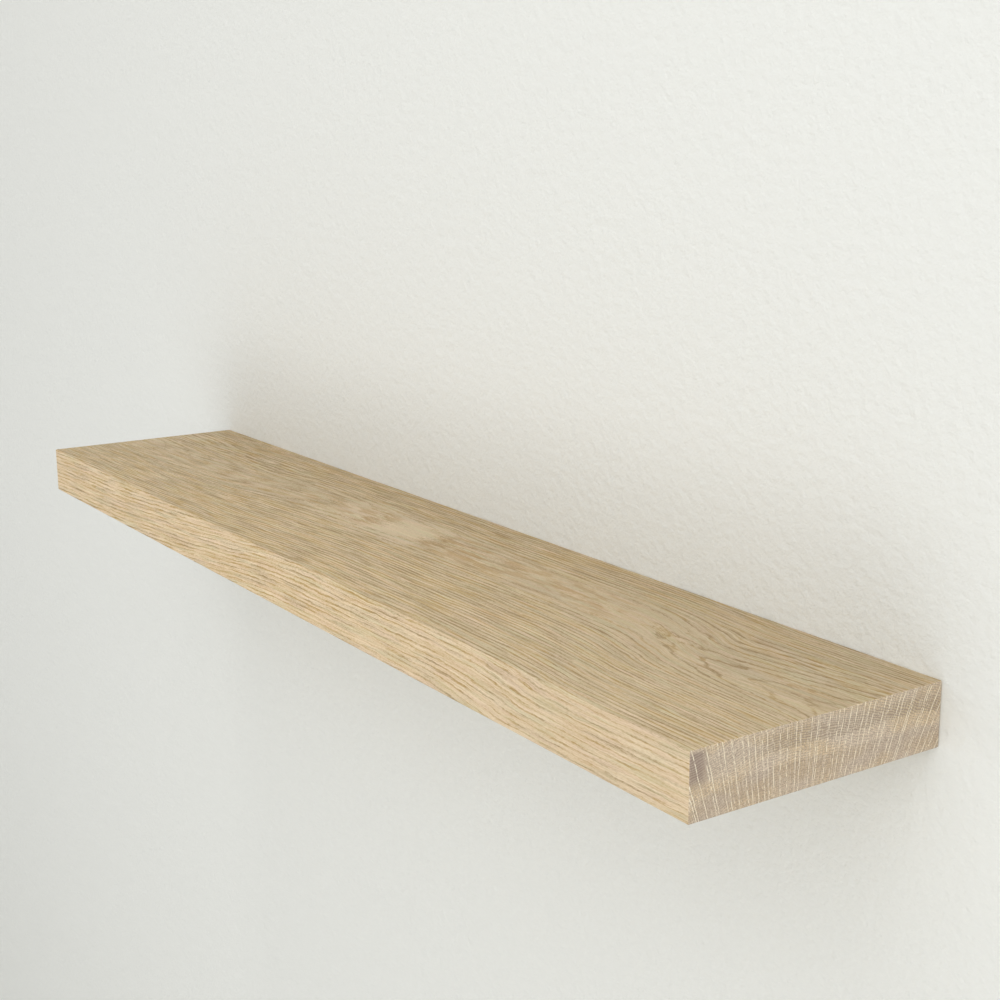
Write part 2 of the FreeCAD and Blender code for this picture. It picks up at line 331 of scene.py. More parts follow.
# Oak board
oakLook = {
    "pale": linear(223, 203, 170),  # the wood between its streaks
    "cool": linear(214, 197, 168),
    "cream": linear(236, 218, 188),  # the palest streaks
    "streak": linear(160, 134, 90),  # early wood and open pores
    "gold": linear(178, 146, 88),  # the yellower streaks
    "honey": linear(182, 143, 92),  # flecks beside the heart line
    "rosy": linear(230, 203, 177),  # faint patches, pinker and greener
    "green": linear(212, 204, 166),
    # painted light: the front face in a paler copy of the wood, as if lit more than the top
    "paintedLitFront": linear(236, 215, 183),
    "endPale": linear(231, 213, 190),
    "endTan": linear(234, 210, 172),
    "endDark": linear(164, 143, 127),
    "endOlive": linear(166, 151, 120),
    "endRay": linear(250, 239, 216),
    "endStain": linear(128, 106, 100),
    "depth": 1.56,  # how strongly the streaks show
    "dashes": 0.22,  # and each kind of streak in them
    "lines": 0.18,
    "early": 0.54,
    "broad": 0.24,
    "grains": 0.1,
    "quieting": 0.7,  # how far they fade in the smooth wood on the heart line
    "softening": 0.22,  # and towards the soft end, and how much more so on the front edge
    "edgeSoftening": 0.26,
    "softShade": 0.07,  # how much darker the wood gets there
    "edgeSoftShade": 0.045,
    "paintedFrontLight": 0.1,  # painted light: how much paler the wood is painted towards the front edge, and darker by the wall
    "toneSwing": 0.2,  # how uneven it is
    "edgeEvenness": 0.18,
    "creamyShare": 0.5,  # how far the tints cover it
    "rosyShare": 0.5,
    "greenShare": 0.5,
    "fleckShare": 0.9,
    "dashDepth": 9,  # how far down each pattern reaches before it changes
    "streakDepth": 20,
    "grainDepth": 0.45,
    "speckleDepth": 20,
    "roughness": 0.56,
    "shine": 0.35,
    "poreDepth": 0.00016,  # metres
    "lean": 1.6,  # shift of the pattern along the board for each millimetre down
    "heartMiddle": -64,  # where the heart line lies halfway along the board
    "middleRing": 12,  # and the ring that it runs along there
    "frontStraight": 0.7,  # how much straighter the lines run by the front edge
    "wallStraight": 0.6,
    "edgeCalm": 0.7,  # how much less they sway on the front edge
    "edgeBreaks": 0.55,  # how much of the early wood breaks off there
    "earlyWidth": 0.46,  # share of a ring, and how much less of it by the heart line
    "earlyNarrowing": 0.26,
    "earlyOpening": 0.12,
    "gapDepth": 0.7,
    "wallSlope": 0.34,  # rings in each millimetre, from the heart line to the wall
    "frontSlope": 0.31,
    "bluntness": 27,  # half width of the arches' tips
    "pointedness": 1.1,  # rings by which the last arches come to a point
    "pithDrop": 220,  # from the board's top to the tree's centre, seen on the ends
    "pithSetback": -108,
    "raySpacing": 4.7,
    "rayScatter": 0.85,
    "thinRayCount": 3.1,  # for each broad ray
    "ringSpacing": 1.3,
    "ringBend": 7,  # how far rings, rays, band and stain stray
    "ringCrinkle": 1.6,
    "rayStray": 0.3,
    "bandBend": 5,
    "stainReach": 8,
    "stainDrop": 6,
    "stainShare": 0.8,
}
# smooth lines through given points
oakCurves = {
    # the heart line of the arches: (place along the board, place across it)
    "heartLine": [
        (-450, -96), (-250, -84), (-100, -66), (45, -64), (120, -63),
        (220, -61), (320, -74), (365, -82), (450, -80),
    ],
    # rings counted along the heart line; an arch ends at each whole number
    "heartRings": [
        (-450, 3.0), (-250, 7.4), (-120, 10.0), (-45, 11.0), (38, 12.0), (56, 12.3), (110, 12.45),
        (200, 12.5), (285, 12.3), (316, 12.0), (362, 11.0), (400, 10.0), (438, 9.0), (450, 8.6),
    ],
    # how dark each ring's early wood is: (ring, strength)
    "ringStrength": [
        (3, 0.7), (5, 0.9), (6, 0.6), (8, 0.9), (9, 0.7), (10, 0.9), (11, 0.9), (12, 1.0), (13, 0.65),
        (14, 0.8), (15, 0.6), (16, 0.9), (17, 0.7), (19, 0.55), (20, 0.85), (22, 0.65), (23, 1.0),
        (25, 0.6), (28, 0.95), (30, 0.7), (34, 0.9), (38, 0.7), (44, 0.9), (50, 0.7),
    ],
    # smooth wood on the heart line, and brown flecks beside it: (place along the board, strength)
    "heartCalm": [
        (-450, 0.2), (-110, 0.3), (-92, 0.8), (20, 0.95), (42, 0.6), (60, 0.15), (140, 0.3), (165, 0.85),
        (310, 0.8), (350, 0.25), (450, 0.3),
    ],
    "heartFlecks": [
        (-450, 0.3), (-90, 0.5), (-55, 0.9), (-25, 0.5), (10, 0.1), (38, 0.35), (52, 1.0), (110, 0.95),
        (160, 0.75), (205, 0.8), (255, 0.5), (290, 0.1), (450, 0.25),
    ],
    # how far the lines of the front half drift towards the wall: (place along the board, drift)
    "frontDrift": [(-450, -8), (-180, -8), (-60, -2), (100, 7), (450, 7)],
    # the pale band that arches over the ends: (place across the board, depth below its top)
    "endArch": [(-175, 28), (-158, 20), (-142, 17), (-108, 16.5), (-64, 18), (-30, 18), (0, 20)],
    # how grey the end is, counted down from the middle of that band
    "endBands": [
        (-30, 0.25), (-15, 0.3), (-11, 0.75), (-6, 0.8), (-3, 0.15), (2.5, 0.1), (6, 0.7), (13, 0.75),
        (17, 0.5), (30, 0.4),
    ],
}
# cloudy patterns: (length and width of a lump in millimetres, layer, detail, roughness)
oakClouds = {
    "wander": (170, 40, 3.1, 1.0, 0.5),
    "sway": (52, 16, 5.5, 2.0, 0.4),
    "ripple": (13, 4, 23.0, 2.0, 0.5),
    "crooked": (22, 7, 17.0, 2.0, 0.5),
    "ragged": (34, 1, 8.8, 2.0, 0.6),
    "torn": (14, 0.8, 7.7, 3.0, 0.7),
    "frayed": (4.5, 0.5, 0.0, 1.0, 0.5),
    "gaps": (60, 1 / 5.3, 4.4, 2.0, 0.6),  # this width and the next one are in rings
    "breaks": (26, 1 / 7.1, 31.0, 2.0, 0.5),
    "fine": (38, 0.75, 0.0, 2.0, 0.75),
    "grains": (2.6, 0.45, 0.0, 1.0, 0.5),
    "long": (75, 1.1, 0.0, 3.0, 0.8),
    "tone": (110, 12, 1.3, 3.0, 0.6),
    "broad": (50, 2.2, 21.0, 2.0, 0.5),
    "tint": (48, 4.5, 6.1, 2.0, 0.6),
    "golden": (42, 4.2, 14.3, 2.0, 0.5),
    "spots": (26, 5.5, 9.2, 3.0, 0.6),
    "bend": (30, 30, 2.0, 2.0, 0.5),  # from here on, across and down the ends
    "patches": (38, 17, 11.0, 2.0, 0.5),
    "sideways": (5, 9, 6.0, 2.0, 0.5),
    "speckle": (0.6, 0.5, 0.0, 2.0, 0.7),
    "crinkle": (1 / 0.9, 3, 5.0, 2.0, 0.5),  # this and the last one in rays, and out from the tree's centre
    "broken": (1 / 1.1, 4, 8.0, 3.0, 0.75),
}
# how far some of them move the lines, in millimetres, and the last four in rings
oakSwings = {
    "wander": 3,
    "sway": 4.2,
    "ripple": 2.0,
    "crooked": 1.6,
    "ragged": 0.85,
    "torn": 2.0,
    "frayed": 0.3,
}
# where a trait is absent, and where it is full
oakSteps = {
    "facing": (0.55, 0.8),
    # along the board
    "nearEnd": (235, 345),
    "softEnd": (100, 380),
    "broadFade": (100, 300),
    "shaded": (90, 150),
    # across the board
    "frontStraight": (-85, -150),
    "wallStraight": (-60, -20),
    "drift": (-60, -150),
    # painted light: none by the wall, full at the front edge
    "paintedFrontLight": (-10, -180),
    # out from the heart line
    "nearHeart": (42, 12),
    "faded": (20, 100),
    "pointed": (0, 26),
    "rounded": (26, 70),
    "calm": (34, 20),
    "flecks": (32, 8),
    "heartShade": (50, 20),
    "ringStart": (0.0, 0.1),  # share of a ring
    # in a pattern's cloud
    "gaps": (0.25, 0.5),
    "breaks": (0.52, 0.38),
    "dashes": (0.36, 0.66),
    "grains": (0.42, 0.66),
    "lines": (0.35, 0.65),
    "creamy": (0.48, 0.32),
    "broad": (0.48, 0.62),
    "cool": (0.4, 0.7),
    "rosy": (0.5, 0.66),
    "green": (0.5, 0.34),
    "spots": (0.44, 0.58),
    "golden": (0.46, 0.6),
    "patches": (0.38, 0.62),
    "speckle": (0.44, 0.6),
    "pits": (0.5, 0.7),
    # rings and rays of the ends
    "ringLine": (0.34, 0.12),
    "rays": (0.068, 0.036),
    "rayBreaks": (0.43, 0.53),
    "thinRays": (0.18, 0.07),
    "thinBreaks": (0.56, 0.42),
    # down from the pale band, and the stain at the front corner
    "aboveBand": (0, -4),
    "frontOfBand": (-118, -136),
    "weave": (12, -4),
    "olive": (2, -4),
    "stainFront": (-160, -167),
    "stainDepth": (22, 16),
    "stainTop": (0.5, 3),
}


class Oak(Look):
    # the board's material; first where each point lies in the wood
    def __init__(self, look):
        super().__init__("oiledOak")
        self.look = look
        self.topFace = cadBox[1].z * toMillimetres
        self.down = self.topFace - self.z
        self.along = self.x + self.down * look["lean"]
        self.across = self.y - self.down  # the pattern of the top runs on over the front edge
        facingX, facingY, _ = self.apart(self.place("Normal"))
        self.onEnd = self.step("facing", abs(facingX))
        self.onEdge = self.step("facing", abs(facingY))
        self.nearEnd = self.step("nearEnd", self.along)
        self.softEnd = self.step("softEnd", self.along)  # the streaks are softer towards one end

    def step(self, name, value):
        return self.rise(value, *oakSteps[name])

    def cloud(self, name, lengthwise, sideways, layer=None):
        length, width, ownLayer, detail, roughness = oakClouds[name]
        layer = ownLayer if layer is None else layer
        return self.noise(lengthwise / length, sideways / width, layer, detail, roughness)

    def swing(self, name, lengthwise, sideways, layer=None):
        return (self.cloud(name, lengthwise, sideways, layer) - 0.5) * oakSwings[name]

    def followHeart(self):
        # distance across the wood from the wandering heart line
        look, along, across = self.look, self.along, self.across
        straight = self.step("frontStraight", across) * look["frontStraight"]
        straight = straight + self.step("wallStraight", across) * look["wallStraight"]
        heartLine = (self.curve(along, oakCurves["heartLine"]) - look["heartMiddle"]) * (1 - straight)
        offset = across - heartLine - look["heartMiddle"] + self.swing("wander", along, across)
        offset = offset + self.swing("sway", along, across) * (1 - self.onEdge * look["edgeCalm"])
        offset = offset + self.swing("ripple", along, across) * self.onEdge
        return offset - self.curve(along, oakCurves["frontDrift"]) * self.step("drift", across)

    def layRings(self):
        # growth rings on the long faces: arches about the heart line
        look, along, nearEnd = self.look, self.along, self.nearEnd
        self.offset = self.followHeart()
        wallSide = look["wallSlope"] / look["frontSlope"]
        self.scaled = self.offset.most(0) * wallSide - self.offset.least(0)
        self.nearHeart = self.step("nearHeart", self.scaled)
        blunt = look["bluntness"]
        flank = ((self.scaled**4 + blunt**4) ** 0.25 - blunt) * look["frontSlope"]
        heart = self.curve(along, oakCurves["heartRings"]) - look["middleRing"]
        faded = self.step("faded", self.scaled) * (0.6 + nearEnd * 0.2)
        rings = flank + look["middleRing"] + heart * (1 - faded)
        pointed = self.step("pointed", self.scaled) - self.step("rounded", self.scaled)
        crooked = self.swing("crooked", along, self.across) * self.nearHeart
        rings = rings + nearEnd * (pointed * look["pointedness"] + crooked)
        rings = rings + self.swing("ragged", along, self.offset) * (1 - self.nearHeart)
        rings = rings + self.swing("torn", along, self.offset) * self.nearHeart * (1 - nearEnd * 0.8)
        rings = rings + self.swing("frayed", along, self.offset, self.down)
        share = rings % 1
        return share, rings - share

    def layEarlyWood(self):
        # the open-pored start of each ring, with gaps, and shorter on the front edge
        look = self.look
        share, ring = self.layRings()
        nearHeart = self.nearHeart
        width = look["earlyWidth"] - nearHeart * (look["earlyNarrowing"] - self.nearEnd * 0.12)
        early = self.rise(share, width, look["earlyOpening"]) * self.step("ringStart", share)
        early = early * self.curve(ring, oakCurves["ringStrength"])
        breaks = self.step("breaks", self.cloud("breaks", self.along, ring))
        early = early * (1 - self.onEdge * breaks * look["edgeBreaks"])
        gaps = self.step("gaps", self.cloud("gaps", self.along, ring)) * look["gapDepth"]
        return early * (gaps + 1 - look["gapDepth"]).most(nearHeart * (1 - self.nearEnd * 0.38))

    def drawStreaks(self):
        # how dark the wood is: pores in fine dashes that run with the rings, and early wood
        look, along, offset, onEdge = self.look, self.along, self.offset, self.onEdge
        self.dashes = self.step("dashes", self.cloud("fine", along, offset, self.down / look["dashDepth"]))
        self.long = self.cloud("long", along, offset, self.down / look["streakDepth"])
        self.lines = self.step("lines", self.long)
        self.tone = self.cloud("tone", along, offset)
        grains = self.step("grains", self.cloud("grains", self.x, self.y, self.z / look["grainDepth"]))
        broad = self.step("broad", self.cloud("broad", along, offset)) * (1 - onEdge)
        calm = self.curve(along, oakCurves["heartCalm"]) * self.step("calm", self.scaled)
        quiet = 1 - calm * look["quieting"]
        self.quiet = quiet
        dark = self.dashes * (quiet * look["dashes"] + self.early * 0.14) + self.lines * quiet * look["lines"]
        dark = dark + self.early * (look["early"] - self.nearHeart * 0.2 - onEdge * 0.14)
        dark = dark + broad * quiet * (look["broad"] - self.step("broadFade", along) * 0.1)
        dark = dark - (1 - onEdge) * 0.035
        dark = dark + grains * (look["grains"] + self.early * 0.16 + quiet * 0.06)
        softening = self.softEnd * (look["softening"] + onEdge * look["edgeSoftening"])
        dark = dark * (look["depth"] - softening)
        dark = dark + (self.tone - 0.5) * (look["toneSwing"] - onEdge * look["edgeEvenness"])
        dark = dark + calm * (self.step("shaded", along) * 0.16 - 0.02)
        return dark.least(1).most(0)

    def drawFlecks(self):
        # brown flecks beside the heart line
        spots = self.cloud("spots", self.along, self.across + 6)
        flecks = self.curve(self.along, oakCurves["heartFlecks"]) * self.step("flecks", self.scaled)
        flecks = flecks * self.step("spots", spots) * (0.45 + self.dashes * 0.55)
        return (flecks + self.early * self.nearHeart * 0.4).least(1)

    def paintLong(self):
        # colour and height of the long faces
        look, onEdge = self.look, self.onEdge
        self.early = self.layEarlyWood()
        dark = self.drawStreaks()
        tint = self.cloud("tint", self.along, self.offset)
        golden = self.step("golden", self.cloud("golden", self.along, self.offset) + onEdge * 0.07)
        colour = self.blend(self.step("cool", self.tone), look["pale"], look["cool"])
        # painted light: the front face gets the paler, lit-looking copy of the wood
        colour = self.blend(onEdge, colour, look["paintedLitFront"])
        creamy = self.step("creamy", self.long) * self.quiet
        colour = self.blend(creamy * look["creamyShare"], colour, look["cream"])
        colour = self.blend(self.step("rosy", tint) * look["rosyShare"], colour, look["rosy"])
        colour = self.blend(self.step("green", tint) * look["greenShare"], colour, look["green"])
        colour = self.blend(self.drawFlecks() * look["fleckShare"], colour, look["honey"])
        colour = self.blend(dark, colour, self.blend(golden, look["streak"], look["gold"]))
        # painted light: paler towards the front edge and darker by the wall; then darker towards the soft end
        # and beside the heart line
        paintedLightAndTone = 1 + (self.step("paintedFrontLight", self.across) - 0.4) * look["paintedFrontLight"]
        paintedLightAndTone = paintedLightAndTone + 0.03 - self.softEnd * (look["softShade"] + onEdge * look["edgeSoftShade"])
        paintedLightAndTone = paintedLightAndTone - self.step("heartShade", self.scaled) * 0.035
        height = 1 - self.dashes * (0.4 * self.quiet + self.early * 0.6) - self.lines * 0.2
        return self.scale(colour, paintedLightAndTone), height

    def nearLine(self, place, scatter=1.0):
        # distance to the nearest of many lines, one for each unit of the place
        sockets = {"W": place, "Scale": 1.0, "Randomness": scatter}
        return self.node("ShaderNodeTexVoronoi", {"voronoi_dimensions": "1D"}, sockets)

    def paintEnds(self):
        # colour and height of the end grain: rings round the tree's centre, and rays that fan out from it
        look, y, z, down = self.look, self.y, self.z, self.down
        pithAcross = y - look["pithSetback"]
        pithUp = z - (self.topFace - look["pithDrop"])
        radius = (pithAcross * pithAcross + pithUp * pithUp) ** 0.5
        fan = self.math("ARCTAN2", pithAcross, pithUp) * (look["pithDrop"] / look["raySpacing"])
        bend = self.cloud("bend", y, z) - 0.5
        crinkle = self.cloud("crinkle", fan, radius) - 0.5
        strayed = radius + bend * look["ringBend"] + crinkle * look["ringCrinkle"]
        ringWave = (strayed / look["ringSpacing"]) % 1
        ringLine = self.step("ringLine", abs(ringWave - 0.5))
        sideways = self.cloud("sideways", y, z) - 0.5
        broken = self.cloud("broken", fan, radius)
        rays = self.nearLine(fan + sideways * look["rayStray"], look["rayScatter"])
        rays = self.step("rays", rays) * self.step("rayBreaks", broken)
        thinRays = self.step("thinRays", self.nearLine(fan * look["thinRayCount"] + sideways))
        thinRays = thinRays * self.step("thinBreaks", broken)

        sunk = down - self.curve(y, oakCurves["endArch"]) + bend * look["bandBend"]
        bare = self.step("frontOfBand", y) * self.step("aboveBand", sunk)
        grey = self.curve(sunk, oakCurves["endBands"]) * (1 - bare * 0.7)
        weave = grey * self.step("weave", sunk)  # the rings show most near the top
        stain = self.step("stainFront", y + bend * look["stainReach"]) * self.step("stainTop", down)
        stain = stain * self.step("stainDepth", down + bend * look["stainDrop"])
        patches = self.cloud("patches", y, z)
        speckle = self.cloud("speckle", y, z, self.x / look["speckleDepth"])
        specks = self.step("speckle", speckle) * 0.7 * (1 - stain * 0.5)

        colour = self.blend(self.step("patches", patches), look["endPale"], look["endTan"])
        dull = self.blend(self.step("olive", sunk), look["endDark"], look["endOlive"])
        colour = self.blend(grey * (0.3 + patches * 0.4), colour, dull)
        colour = self.blend(stain * look["stainShare"], colour, look["endStain"])
        colour = self.blend(ringLine * (0.3 + weave * 0.6) * (1 - stain), colour, look["endDark"])
        colour = self.blend((1 - ringLine) * stain * 0.3, colour, look["endPale"])
        colour = self.blend(specks, colour, look["endDark"])
        colour = self.blend((rays + thinRays * (0.5 - stain * 0.4)).least(1), colour, look["endRay"])
        return colour, 1 - self.step("pits", speckle) * 0.6 + rays * 0.2


def makeOak(look):
    oak = Oak(look)
    longColour, longHeight = oak.paintLong()
    endColour, endHeight = oak.paintEnds()
    colour = oak.blend(oak.onEnd, longColour, endColour)
    normal = oak.bump(longHeight * (1 - oak.onEnd) + endHeight * oak.onEnd, look["poreDepth"], 0.6)
    roughness = look["roughness"] + oak.dashes * 0.12 - oak.early * 0.04
    shine = look["shine"]
    return oak.finish(Base_Color=colour, Roughness=roughness, Normal=normal, Specular_IOR_Level=shine)


def wear(nodeName, material):
    made = nodes[nodeName]
    for slot in made.material_slots:
        slot.link = "OBJECT"
        slot.material = material


wear("shelf_board", makeOak(oakLook))
print("oak board done")


# The hardware: how many of each there are, and where they stand
fixingNumbers = range(1, 6)
rodNumbers = range(1, 5)
lockNumbers = range(1, 3)


def startOf(nodeName, axis):
    # the middle of the face where a CAD node starts along an axis
    low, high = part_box(nodeName)
    start = (low + high) / 2
    setattr(start, axis, getattr(low, axis))
    return start


# Wall screws
wallScrewSizes = {
    "headRadius": 5.0,
    "headRim": 0.4,
    "headEdge": 0.15,
    "shankRadius": 1.85,
    "shankEnd": 16.0,
    "coreRadius": 1.65,
    "crestRadius": 2.5,
    "pitch": 2.6,
    "length": 60.0,
    "tip": 5.0,
    "neckFillet": 0.3,
    "shankTaper": 0.4,
    "recessSpan": 5.4,
    "recessWidth": 1.25,
    "recessDepth": 2.6,
}
woodRidge = [(0.0, 0.0), (0.45, 0.0), (0.7, 1.0), (0.76, 1.0)]
intoWall = (-math.pi / 2, 0.0, 0.0)  # turns a piece's Z to +Y


def makeWallScrews(sizes, finish):
    maker = Maker("wallScrew", sizes)
    size = maker.given
    head, rim, edge, shank = (size[k] for k in ("headRadius", "headRim", "headEdge", "shankRadius"))
    core, start, fillet = size["coreRadius"], size["shankEnd"], size["neckFillet"]
    body = maker.lathe(
        (0.0, 0.0),
        (head - edge, 0.0),
        (head, edge),
        (head, rim),
        (shank + fillet, rim + head - shank - fillet),
        (shank, rim + head - shank + fillet),
        (shank, start - size["shankTaper"]),
        (core, start),
    )
    crest, pitch = size["crestRadius"], size["pitch"]
    thread = maker.thread(start, size["length"], pitch, core, crest, woodRidge, tip=sizes["tip"])
    span, width, depth = size["recessSpan"], size["recessWidth"], size["recessDepth"] * 2
    wings = [maker.block(*wing, depth, maker.at(0.0, 0.0, 0.0)) for wing in ((span, width), (width, span))]
    maker.finish(maker.cut(maker.weld(body, thread), *wings), finish, intoWall, spun=7)
    names = [f"wall_screw_{i}" for i in fixingNumbers]
    heads = [startOf(name, "y") for name in names]
    return maker.make("wallScrews", heads, "bracket", names, "screw_steel")


def makeScrewSteel(look):
    # bright plating, a little dull in the hollows of the thread
    steel = Look("brightScrewSteel")
    cloud = steel.lumps(look["cloudSize"])
    fine = steel.noise(steel.x / 0.25, steel.y / 0.9, steel.z / 0.25, 2.0, 0.6)
    colour = steel.blend(steel.rise(cloud, 0.35, 0.7), look["bright"], look["warm"])
    colour = steel.blend(steel.rise(fine, 0.55, 0.75) * 0.5, colour, look["dull"])
    roughness = look["roughness"] + cloud * 0.14 + steel.rise(fine, 0.5, 0.8) * 0.12
    normal = steel.bump(fine, look["bumpDepth"], 0.4)
    return steel.finish(Base_Color=colour, Roughness=roughness, Metallic=1.0, Normal=normal)


screwSteelLook = {
    "bright": linear(206, 207, 208),
    "warm": linear(200, 196, 184),
    "dull": linear(142, 142, 140),
    "cloudSize": 3,
    "roughness": 0.26,
    "bumpDepth": 0.00002,
}
makeWallScrews(wallScrewSizes, makeScrewSteel(screwSteelLook))
print("wall screws done")


# Plug welds behind the rods
rodWeldSizes = {
    "holeRadius": 6.05,
    "rimRadius": 7.35,
    "bevelStart": 0.5,
    "height": 1.8,
    "dish": 0.4,
    "rippleDepth": 0.3,
    "rippleCount": 19.0,
    "rimStep": 0.08,
}
# its ripples, mostly in shares of the rim's radius
rodWeldBead = {
    "rings": 14,
    "start": 0.9,
    "end": 0.06,
    "melted": 0.55,
    "crescentCentre": 0.45,
    "crescentBend": 5,
}
rodSpacing = 220  # from one rod's axis to the next, in millimetres


def makeRodWelds(sizes, bead, finish):
    maker = Maker("rodWeld", sizes, 96)
    size = maker.given
    hole, rim, height = size["holeRadius"], size["rimRadius"], size["height"]
    outside = [(0.0, 0.0), (hole, 0.0), (hole, size["bevelStart"]), (rim, height - size["rimStep"])]
    profile = [(*point, 0.0) for point in outside]
    for ring in range(1, bead["rings"] + 1):
        share = 1 - ring / bead["rings"]
        inside = bead["end"] < share < bead["start"]
        rippled = math.sin(math.pi * share / bead["start"]) ** 0.5 if inside else 0.0
        rippled *= min(1, (share / bead["melted"]) ** 2)  # the bead melts together in the middle
        profile.append((rim * share, height - size["dish"] * (1 - share**2), rippled))
    grid, turn, row = maker.sheet(len(profile))
    radius, level, rippled = (maker.pick(row, [point[i] for point in profile]) for i in range(3))
    crescent = (radius / rim - bead["crescentCentre"]) ** 2.0 * bead["crescentBend"]
    ripple = maker.math("COSINE", (turn * size["rippleCount"] + crescent) * math.tau) * 0.5 + 0.5
    weld = maker.wrap(grid, turn, radius, level - rippled * ripple * size["rippleDepth"])
    maker.finish(maker.weld(weld), finish, intoWall, spun=3)
    names = [f"rod_weld_{i}" for i in rodNumbers]
    spots = [startOf(name, "y") for name in names]
    return maker.make("rodWelds", spots, "bracket", names, "weld_metal")


def makeWeldMetal(look):
    # heat tints in rings round each rod, straw inside and blue outside
    metal = Look("weldMetal")
    sideways = metal.x % rodSpacing - rodSpacing / 2
    radius = (sideways * sideways + metal.z * metal.z) ** 0.5
    cloud = metal.lumps(look["cloudSize"])
    tint = radius + (cloud - 0.5) * 3
    colour = metal.blend(metal.rise(tint, 2.0, 4.5), look["bead"], look["straw"])
    colour = metal.blend(metal.rise(tint, 5.2, 7.0), colour, look["blue"])
    colour = metal.blend(metal.rise(cloud, 0.6, 0.72) * 0.6, colour, look["scale"])
    roughness = look["roughness"] + cloud * 0.3
    normal = metal.bump(cloud, look["bumpDepth"], 0.5)
    return metal.finish(Base_Color=colour, Roughness=roughness, Metallic=0.9, Normal=normal)


weldMetalLook = {
    "bead": linear(142, 138, 134),
    "straw": linear(154, 143, 122),
    "blue": linear(118, 122, 134),
    "scale": linear(84, 80, 78),
    "cloudSize": 1.6,
    "roughness": 0.38,
    "bumpDepth": 0.00004,
}
makeRodWelds(rodWeldSizes, rodWeldBead, makeWeldMetal(weldMetalLook))
print("rod welds done")


# Threaded inserts in the underside
lockInsertSizes = {
    "coreRadius": 4.1,
    "crestRadius": 4.75,
    "pitch": 2.0,
    "length": 10.0,
    "rim": 0.25,
    "boreRadius": 3.05,
    "boreCrest": 3.45,
    "borePitch": 1.0,
    "boreChamfer": 0.4,
    "slotWidth": 1.2,
    "slotDepth": 1.5,
}
fineRidge = [(0.0, 0.0), (0.42, 1.0), (0.54, 1.0), (0.94, 0.0)]


def makeLockInserts(sizes, finish):
    maker = Maker("lockInsert", sizes)
    size = maker.given
    core, length, rim = size["coreRadius"], size["length"], size["rim"]
    bore, lip = size["boreRadius"], size["boreChamfer"]
    mouth = maker.lathe((bore, lip), (bore + lip, 0.0), (core - rim, 0.0), (core, rim))
    outside = maker.thread(rim, length - rim, size["pitch"], core, size["crestRadius"], fineRidge)
    roof = maker.lathe((core, length - rim), (core - rim, length), (bore + lip, length), (bore, length - lip))
    inside = maker.thread(lip, length - lip, size["borePitch"], bore, size["boreCrest"], fineRidge, down=True)
    across, width, depth = size["crestRadius"] * 3, size["slotWidth"], size["slotDepth"] * 2
    slot = maker.block(across, width, depth, maker.at(0.0, 0.0, 0.0))
    maker.finish(maker.cut(maker.weld(mouth, outside, roof, inside), slot), finish)
    names = [f"lock_insert_{i}" for i in lockNumbers]
    spots = [startOf(name, "z") for name in names]
    return maker.make("lockInserts", spots, "shelf", names, "insert_brass")


def lockRadius(look):
    # distance from the nearer lock screw's axis
    axis = startOf("lock_insert_2", "z") * toMillimetres
    sideways = abs(look.x) - axis.x
    return (sideways * sideways + (look.y - axis.y) ** 2.0) ** 0.5


def makeInsertBrass(look):
    brass = Look("insertBrass")
    marks = [place / look["markSize"] for place in (lockRadius(brass), brass.z)]
    turned = brass.noise(*marks, 0.0, 1.0)
    cloud = brass.lumps(look["cloudSize"])
    colour = brass.blend(brass.rise(cloud, 0.4, 0.75), look["bright"], look["tarnished"])
    colour = brass.blend(brass.rise(turned, 0.5, 0.75) * 0.3, colour, look["groove"])
    roughness = look["roughness"] + cloud * 0.2 + turned * 0.08
    normal = brass.bump(turned, look["bumpDepth"], 0.4)
    return brass.finish(Base_Color=colour, Roughness=roughness, Metallic=1.0, Normal=normal)


insertBrassLook = {
    "bright": linear(222, 186, 112),
    "tarnished": linear(186, 148, 84),
    "groove": linear(128, 98, 52),
    "markSize": 0.12,  # of the lathe's tool
    "cloudSize": 2.2,
    "roughness": 0.24,
    "bumpDepth": 0.00002,
}
makeLockInserts(lockInsertSizes, makeInsertBrass(insertBrassLook))
print("lock inserts done")


# Lock screws
lockScrewSizes = {
    "coreRadius": 2.45,
    "crestRadius": 3.0,
    "pitch": 1.0,
    "length": 7.95,
    "chamfer": 0.4,
    "tipRadius": 1.9,
    "socketFlats": 3.0,
    "socketDepth": 3.5,
    "stemRadius": 1.15,
    "stemDepth": 1.5,
}


def makeLockScrews(sizes, finish):
    maker = Maker("lockScrew", sizes)
    size = maker.given
    core, length, chamfer = size["coreRadius"], size["length"], size["chamfer"]
    end = maker.lathe((0.0, 0.0), (core - chamfer, 0.0), (core, chamfer))
    thread = maker.thread(chamfer, length - chamfer, size["pitch"], core, size["crestRadius"], fineRidge)
    tip = maker.lathe((core, length - chamfer), (size["tipRadius"], length), (0.0, length))
    corner = size["socketFlats"] / (2 * math.cos(math.pi / 6))
    socket = maker.rod(6, corner, size["socketDepth"] * 2, 0.0)
    stem = maker.rod(maker.around, size["stemRadius"], size["stemDepth"] * 2, length)
    maker.finish(maker.cut(maker.weld(end, thread, tip), socket, stem), finish)
    for i in lockNumbers:
        name = f"lock_screw_{i}"
        maker.make(f"lockScrew{i}", [startOf(name, "z")], name, [name], "lock_steel")


def makeLockSteel(look):
    # black finish, rubbed bright on the crests of the thread
    steel = Look("blackLockSteel")
    cloud = steel.lumps(look["cloudSize"])
    worn = steel.rise(lockRadius(steel) + (cloud - 0.5) * 0.5, *look["wornRadius"])
    colour = steel.blend(steel.rise(cloud, 0.35, 0.7), look["black"], look["oiled"])
    colour = steel.blend(worn * 0.8, colour, look["bare"])
    roughness = look["roughness"] + cloud * 0.22 - worn * 0.08
    normal = steel.bump(cloud, look["bumpDepth"], 0.3)
    return steel.finish(Base_Color=colour, Roughness=roughness, Metallic=0.9, Normal=normal)


